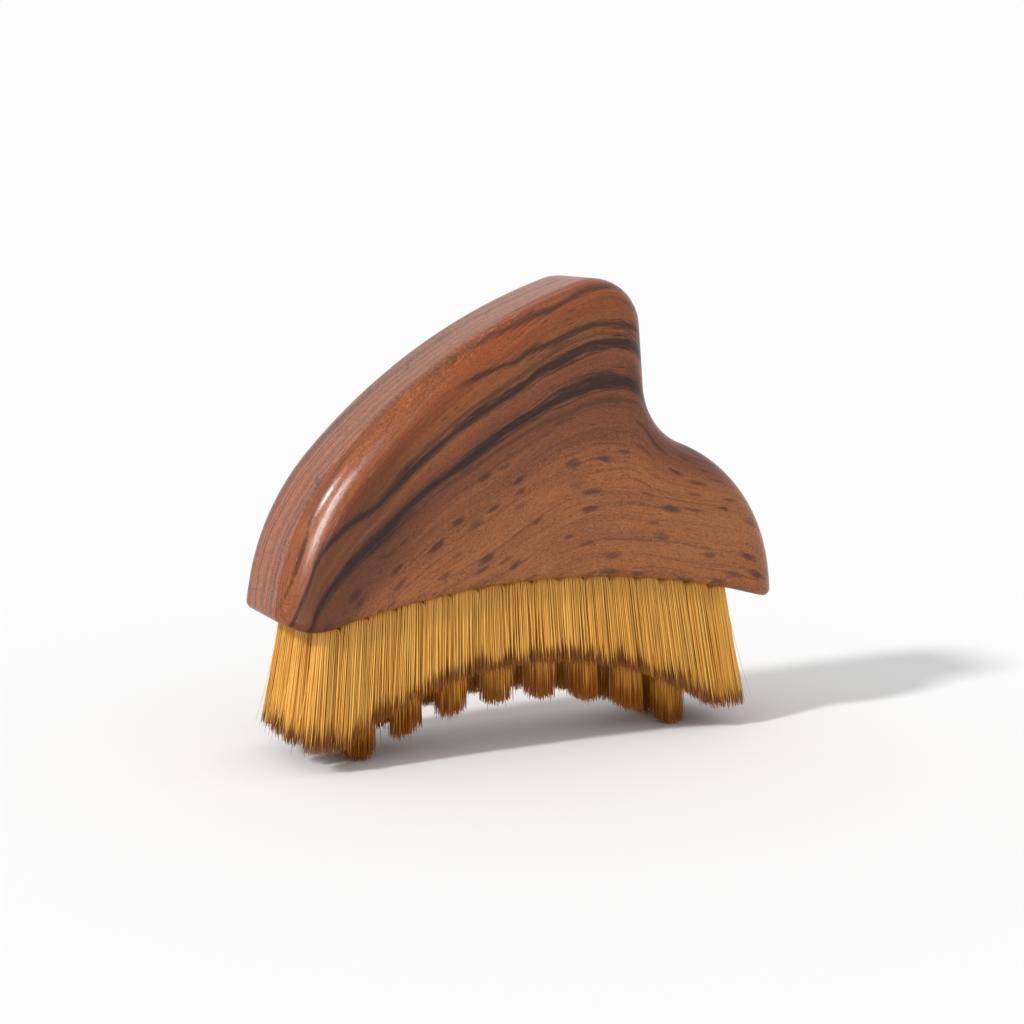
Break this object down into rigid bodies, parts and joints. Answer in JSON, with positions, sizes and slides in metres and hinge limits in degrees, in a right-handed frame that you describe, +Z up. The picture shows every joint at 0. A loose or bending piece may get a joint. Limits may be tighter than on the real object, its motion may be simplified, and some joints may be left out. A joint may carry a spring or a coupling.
{
  "type": "beard brush",
  "caption": "Palm-held beard brush: contoured wooden handle with a high nose and an arched underside, set with two lengths of bristle tufts.",
  "frame": {"origin": "on the plane that the longest bristle tufts stand on, under the middle of the overall length and thickness", "axes": "+X along the brush from the heel to the tail, +Y to the back, +Z up through the handle"},
  "size_m": [0.0966, 0.0264, 0.0825],
  "materials": {
    "wood": "oiled and polished satin",
    "outer_bristle": "satin filament, dark tips",
    "inner_bristle": "satin filament, dark tips",
    "anchor_wire": "drawn flat wire"
  },
  "bodies": {
    "root": {"handle": "wood", "front_tuft_01": "outer_bristle", "front_tuft_02": "outer_bristle", "front_tuft_03": "outer_bristle", "front_tuft_04": "outer_bristle", "front_tuft_05": "outer_bristle", "front_tuft_06": "outer_bristle", "front_tuft_07": "outer_bristle", "front_tuft_08": "outer_bristle", "front_tuft_09": "outer_bristle", "front_tuft_10": "outer_bristle", "front_tuft_11": "outer_bristle", "front_tuft_12": "outer_bristle", "front_tuft_13": "outer_bristle", "front_tuft_14": "outer_bristle", "front_tuft_15": "outer_bristle", "front_tuft_16": "outer_bristle", "back_tuft_01": "outer_bristle", "back_tuft_02": "outer_bristle", "back_tuft_03": "outer_bristle", "back_tuft_04": "outer_bristle", "back_tuft_05": "outer_bristle", "back_tuft_06": "outer_bristle", "back_tuft_07": "outer_bristle", "back_tuft_08": "outer_bristle", "back_tuft_09": "outer_bristle", "back_tuft_10": "outer_bristle", "back_tuft_11": "outer_bristle", "back_tuft_12": "outer_bristle", "back_tuft_13": "outer_bristle", "back_tuft_14": "outer_bristle", "back_tuft_15": "outer_bristle", "back_tuft_16": "outer_bristle", "heel_tuft_1": "outer_bristle", "heel_tuft_2": "outer_bristle", "tail_tuft_1": "outer_bristle", "tail_tuft_2": "outer_bristle", "inner_front_tuft_1": "inner_bristle", "inner_front_tuft_2": "inner_bristle", "inner_front_tuft_3": "inner_bristle", "inner_front_tuft_4": "inner_bristle", "inner_front_tuft_5": "inner_bristle", "inner_front_tuft_6": "inner_bristle", "inner_front_tuft_7": "inner_bristle", "inner_front_tuft_8": "inner_bristle", "inner_back_tuft_1": "inner_bristle", "inner_back_tuft_2": "inner_bristle", "inner_back_tuft_3": "inner_bristle", "inner_back_tuft_4": "inner_bristle", "inner_back_tuft_5": "inner_bristle", "inner_back_tuft_6": "inner_bristle", "inner_back_tuft_7": "inner_bristle", "inner_back_tuft_8": "inner_bristle", "outer_tuft_anchors": "anchor_wire", "inner_tuft_anchors": "anchor_wire"}
  },
  "joints": []
}
